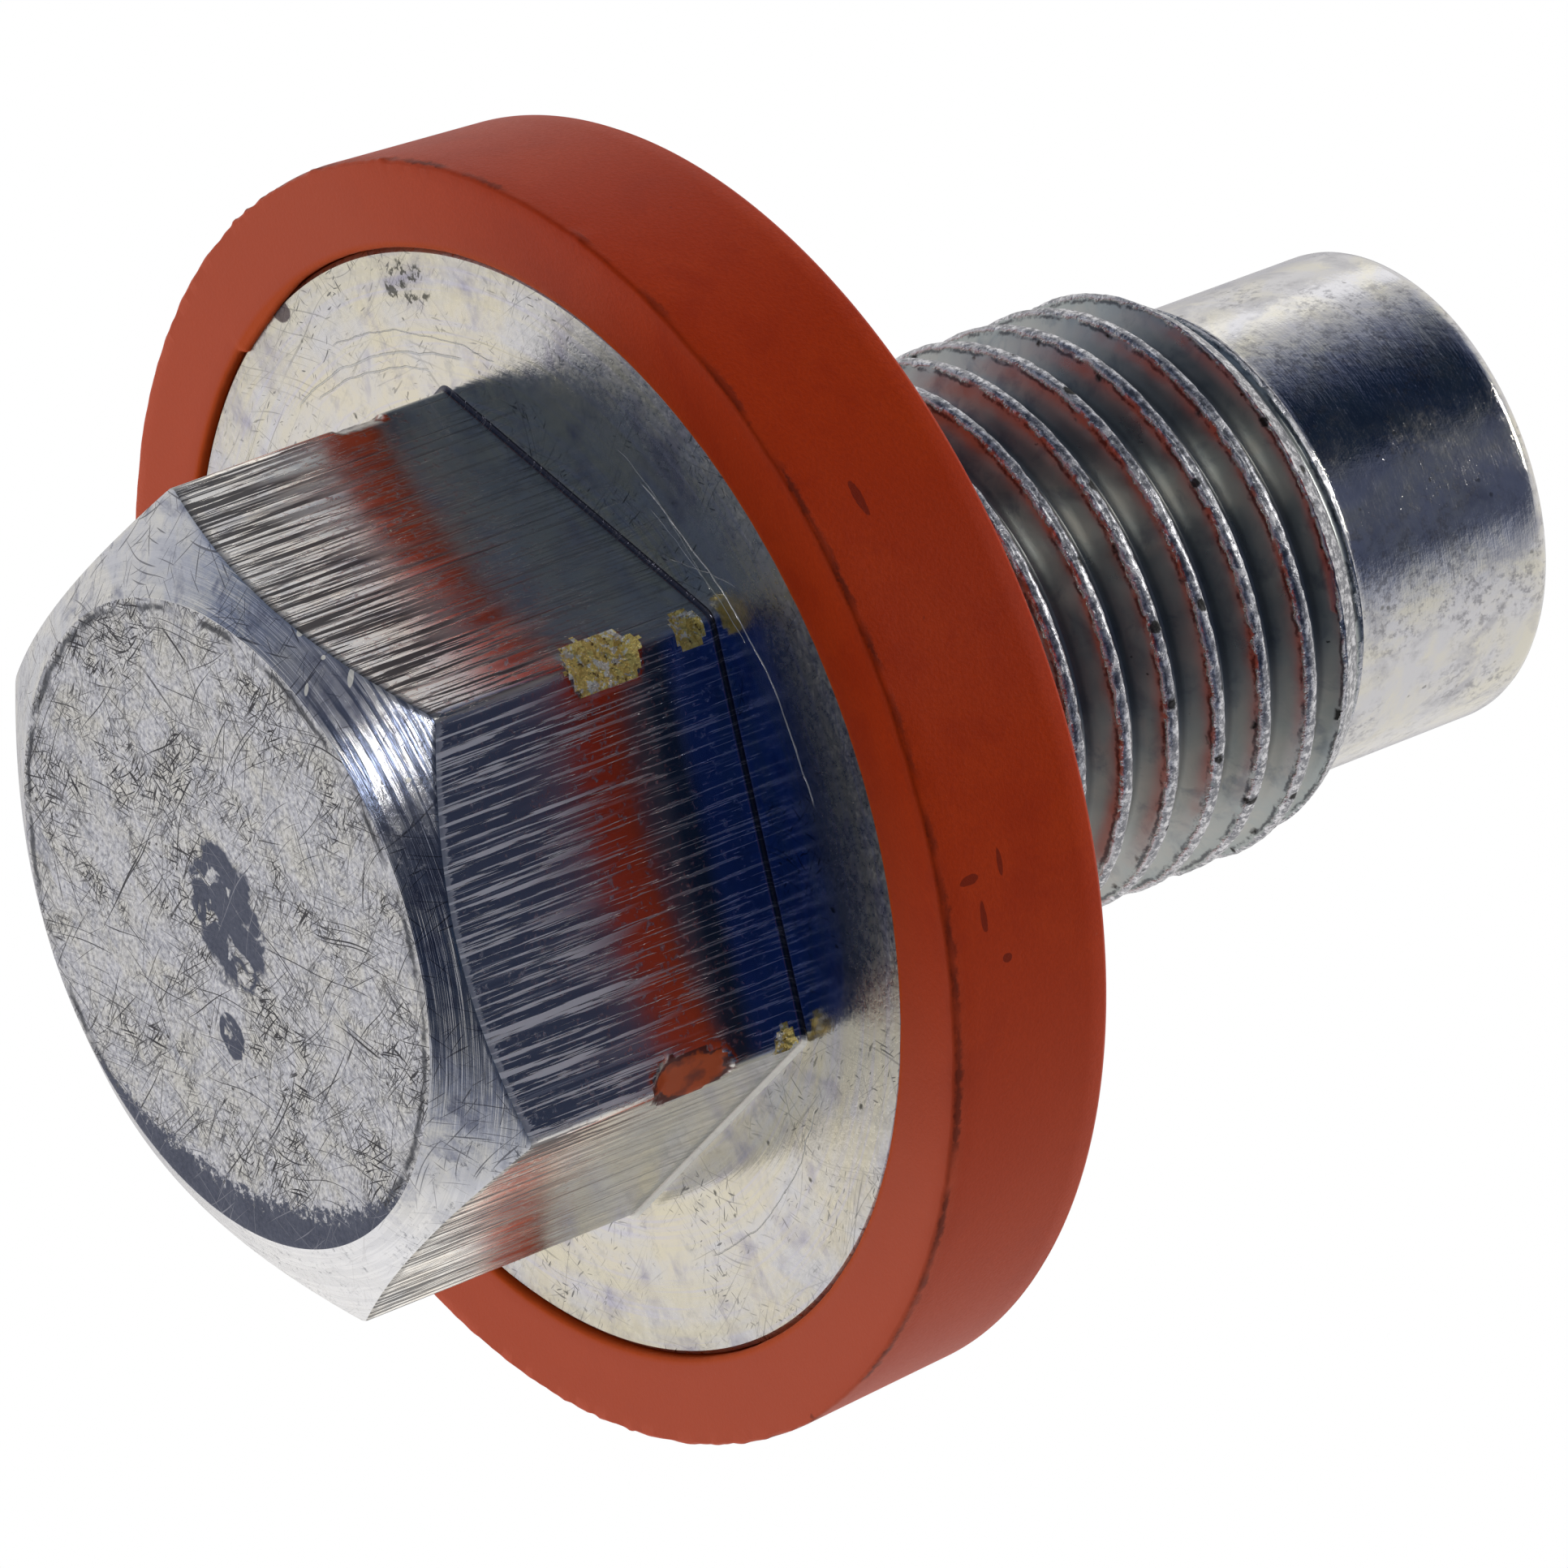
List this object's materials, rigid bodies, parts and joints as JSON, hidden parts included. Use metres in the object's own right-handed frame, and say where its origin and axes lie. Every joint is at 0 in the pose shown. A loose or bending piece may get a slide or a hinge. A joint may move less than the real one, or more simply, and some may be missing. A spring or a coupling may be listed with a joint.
{
  "type": "oil drain plug",
  "caption": "Hex-head oil drain plug with a flange, a moulded rubber sealing ring, a fine right-hand thread and a plain pilot point.",
  "frame": {"origin": "centre of the hex face, which the plug stands on", "axes": "+Z along the axis from the hex face to the pilot tip, +X through a corner of the hexagon"},
  "size_m": [0.0282, 0.0282, 0.0317],
  "materials": {
    "plated_steel": "bright zinc plate over cold-forged steel, scratched and stained",
    "ring_rubber": "matte moulded silicone rubber"
  },
  "bodies": {
    "root": {"drain_plug": "plated_steel", "sealing_ring": "ring_rubber"}
  },
  "joints": []
}
